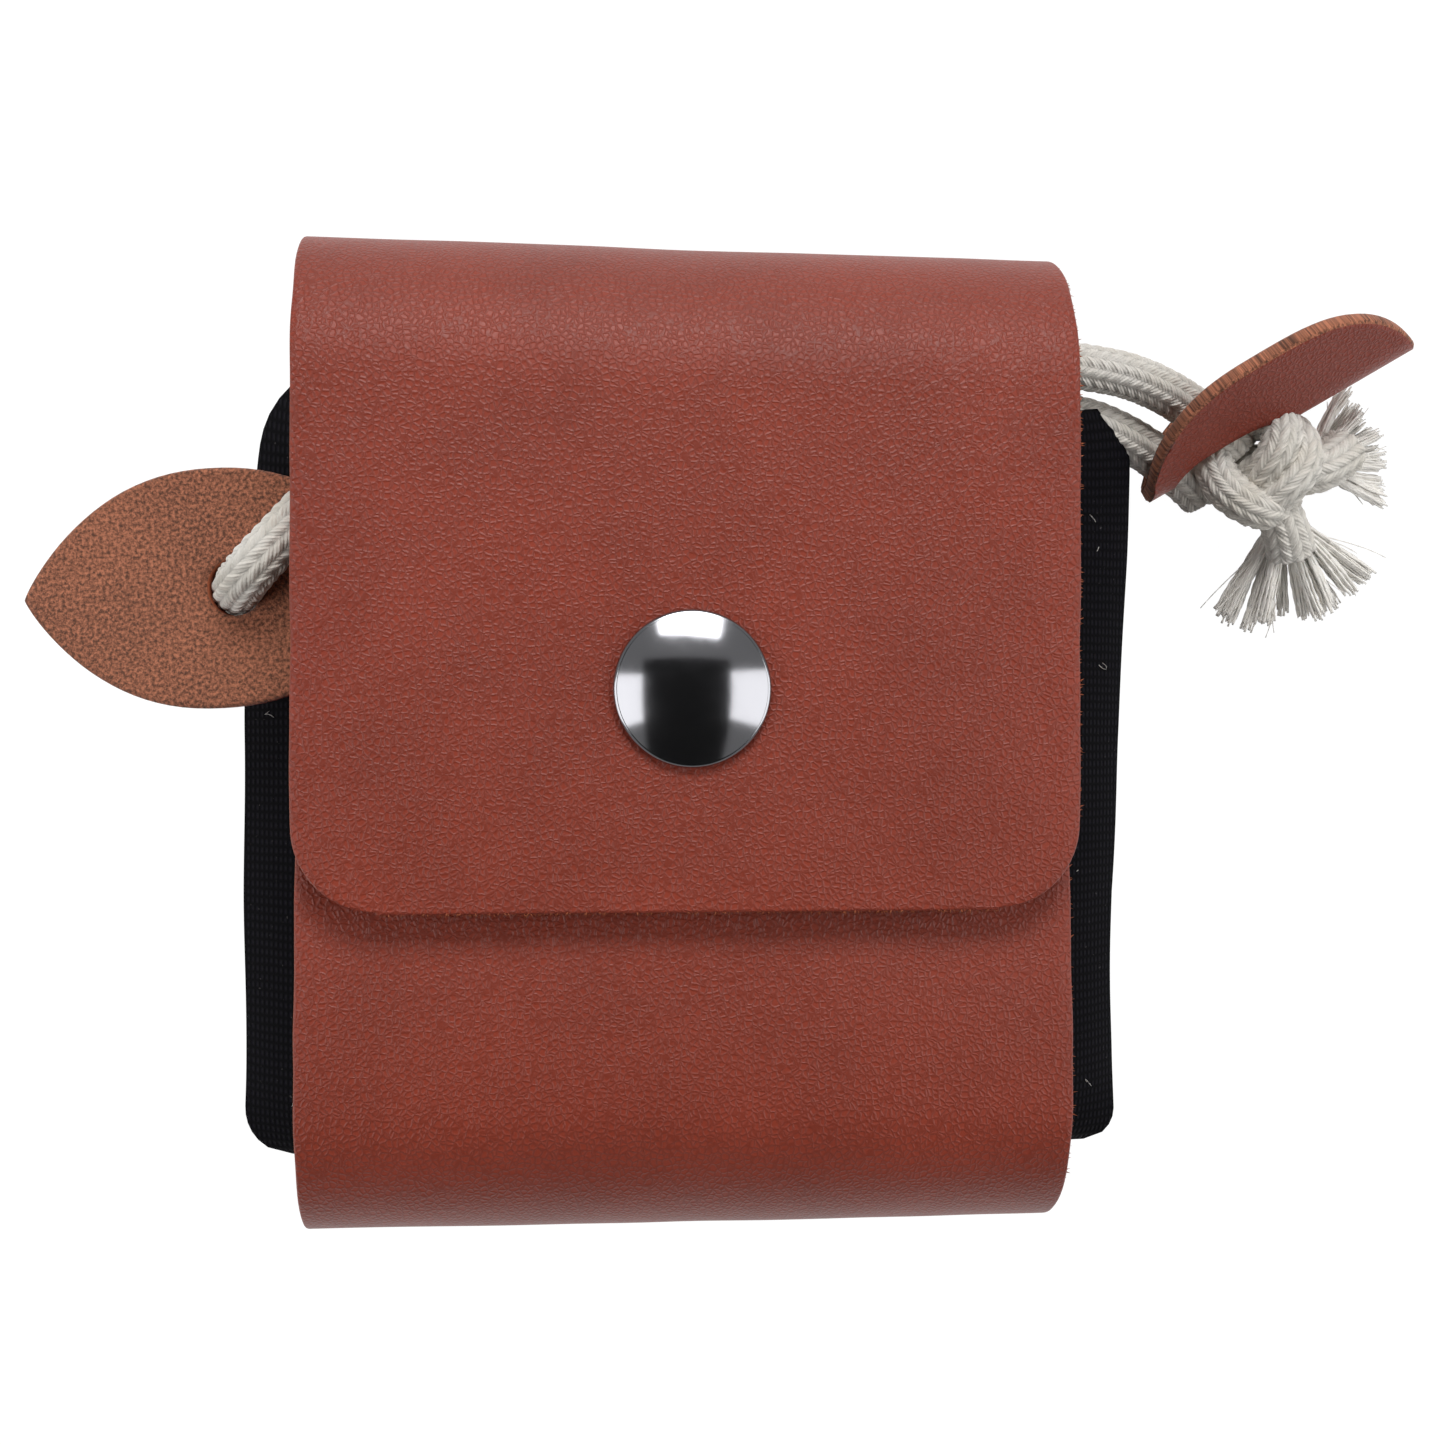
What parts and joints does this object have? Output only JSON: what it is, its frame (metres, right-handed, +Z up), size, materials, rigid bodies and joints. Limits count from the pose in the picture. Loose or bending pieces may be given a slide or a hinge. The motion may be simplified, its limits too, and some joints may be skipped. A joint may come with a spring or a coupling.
{
  "type": "drum stick bag",
  "caption": "Small canvas pouch wrapped in one leather strip whose flap snaps shut, hung on a knotted cotton cord with leather leaves.",
  "frame": {"origin": "under the middle of the wrap, on the surface that the bag lies on", "axes": "+X across the leather strip, +Y towards the mouth, +Z up out of the flap"},
  "size_m": [0.1453, 0.0984, 0.0331],
  "materials": {
    "leather": "pebbled, semi-gloss",
    "suede": "napped",
    "black_nickel": "polished",
    "canvas": "woven",
    "webbing": "woven",
    "cotton": "braided",
    "thread": "waxed"
  },
  "bodies": {
    "bag": {"leather_body": "leather", "canvas_front": "canvas", "canvas_back": "canvas", "hem_front": "canvas", "hem_back": "canvas", "keeper": "webbing", "back_stitches": "thread", "snap_stud": "black_nickel", "snap_post": "black_nickel", "cord_left": "cotton", "cord_right_upper": "cotton", "cord_right_lower": "cotton", "tail_upper": "cotton", "tail_lower": "cotton", "cord_knot": "cotton", "stopper_knot": "cotton"},
    "bend": {"leather_bend": "leather"},
    "flap": {"leather_flap": "leather", "snap_cap": "black_nickel", "snap_socket": "black_nickel"},
    "left_leaf": {"leaf_left": "suede"},
    "right_leaf": {"leaf_right": "leather"}
  },
  "joints": [
    {"name": "bend_unroll", "type": "hinge", "parent": "bag", "child": "bend", "pos_m": [0, 0.0456, 0.0055], "axis": [-1, 0, 0], "range_deg": [0, 75]},
    {"name": "flap_open", "type": "hinge", "parent": "bend", "child": "flap", "pos_m": [0, 0.0456, 0.0253], "axis": [-1, 0, 0], "range_deg": [0, 75]},
    {"name": "left_leaf_turn", "type": "hinge", "parent": "bag", "child": "left_leaf", "pos_m": [-0.04344, 0.0145, 0.01898], "axis": [-0.1905, -0.01, 0.9816], "range_deg": [-12, 12]},
    {"name": "right_leaf_slide", "type": "slide", "parent": "bag", "child": "right_leaf", "axis": [-0.7511, 0.5771, 0.3206], "range_m": [0, 0.0022]}
  ],
  "couplings": [
    {"joint": "bend_unroll", "follows": "flap_open", "ratio": 1}
  ]
}
